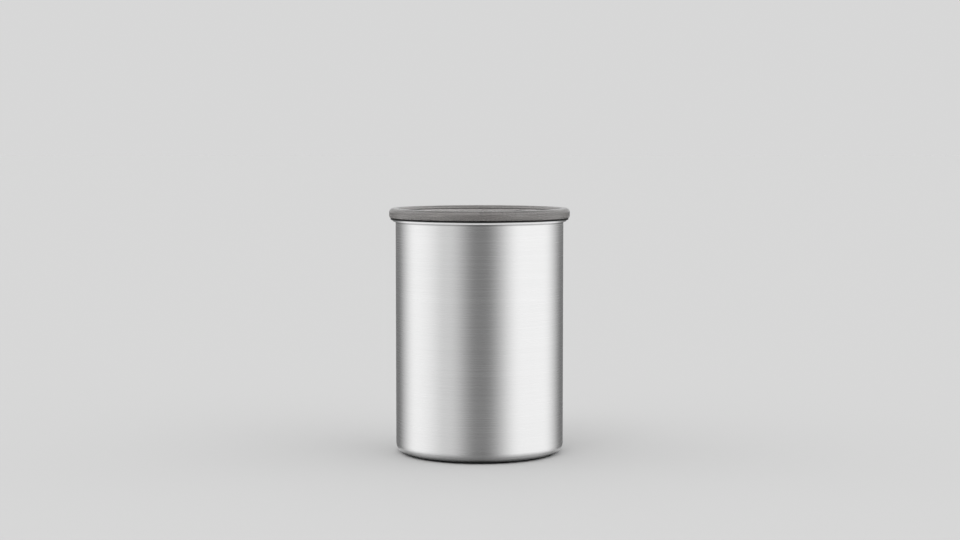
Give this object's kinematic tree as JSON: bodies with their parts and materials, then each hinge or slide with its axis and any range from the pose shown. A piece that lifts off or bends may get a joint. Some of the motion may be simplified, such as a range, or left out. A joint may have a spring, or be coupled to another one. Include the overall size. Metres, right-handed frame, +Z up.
{
  "type": "vacuum seal canister",
  "caption": "Round steel food canister with a clear press-on lid and a push-down inner lid that has a rubber seal, an air valve and a folding wire handle.",
  "frame": {"origin": "centre of the base, on the surface it stands on", "axes": "+Z up along the pot's axis, -Y towards the front that the picture shows, +X to the right"},
  "size_m": [0.1356, 0.1356, 0.1841],
  "materials": {
    "brushed_steel": "fine horizontal brushing",
    "smoke_plastic": "glossy, see-through, smoke tint",
    "black_silicone": "satin",
    "black_plastic": "fine moulded texture",
    "grey_silicone": "satin",
    "dark_acetal": "smooth satin",
    "white_acetal": "smooth",
    "valve_silicone": "satin, milky",
    "steel_wire": "drawn and polished",
    "screw_steel": "plain"
  },
  "bodies": {
    "canister": {"canister_body": "brushed_steel"},
    "outer_lid": {"outer_lid": "smoke_plastic", "lid_gasket": "black_silicone"},
    "plunger": {"plunger_plate": "black_plastic", "plunger_cover": "black_plastic", "plunger_seal": "grey_silicone", "plunger_screws": "screw_steel", "intake_screen": "steel_wire", "valve_housing": "black_plastic", "housing_screws": "screw_steel", "valve_cap": "dark_acetal", "valve_spring": "steel_wire"},
    "handle": {"cam_axle": "dark_acetal", "handle_bail": "steel_wire"},
    "valve": {"valve_carrier": "white_acetal", "valve_plug": "valve_silicone"}
  },
  "joints": [
    {"name": "lid_lift", "type": "slide", "parent": "canister", "child": "outer_lid", "axis": [0, 0, 1], "range_m": [0, 0.07]},
    {"name": "plunger_slide", "type": "slide", "parent": "canister", "child": "plunger", "axis": [0, 0, 1], "range_m": [-0.1241, 0]},
    {"name": "handle_flip", "type": "hinge", "parent": "plunger", "child": "handle", "pos_m": [0, 0, 0.1443], "axis": [-1, 0, 0], "range_deg": [0, 90]},
    {"name": "valve_lift", "type": "slide", "parent": "plunger", "child": "valve", "axis": [0, 0, 1], "range_m": [0, 0.002], "deforming": ["valve_spring"]}
  ],
  "couplings": [
    {"joint": "valve_lift", "follows": "handle_flip", "m_per_rad": 0.001273}
  ]
}
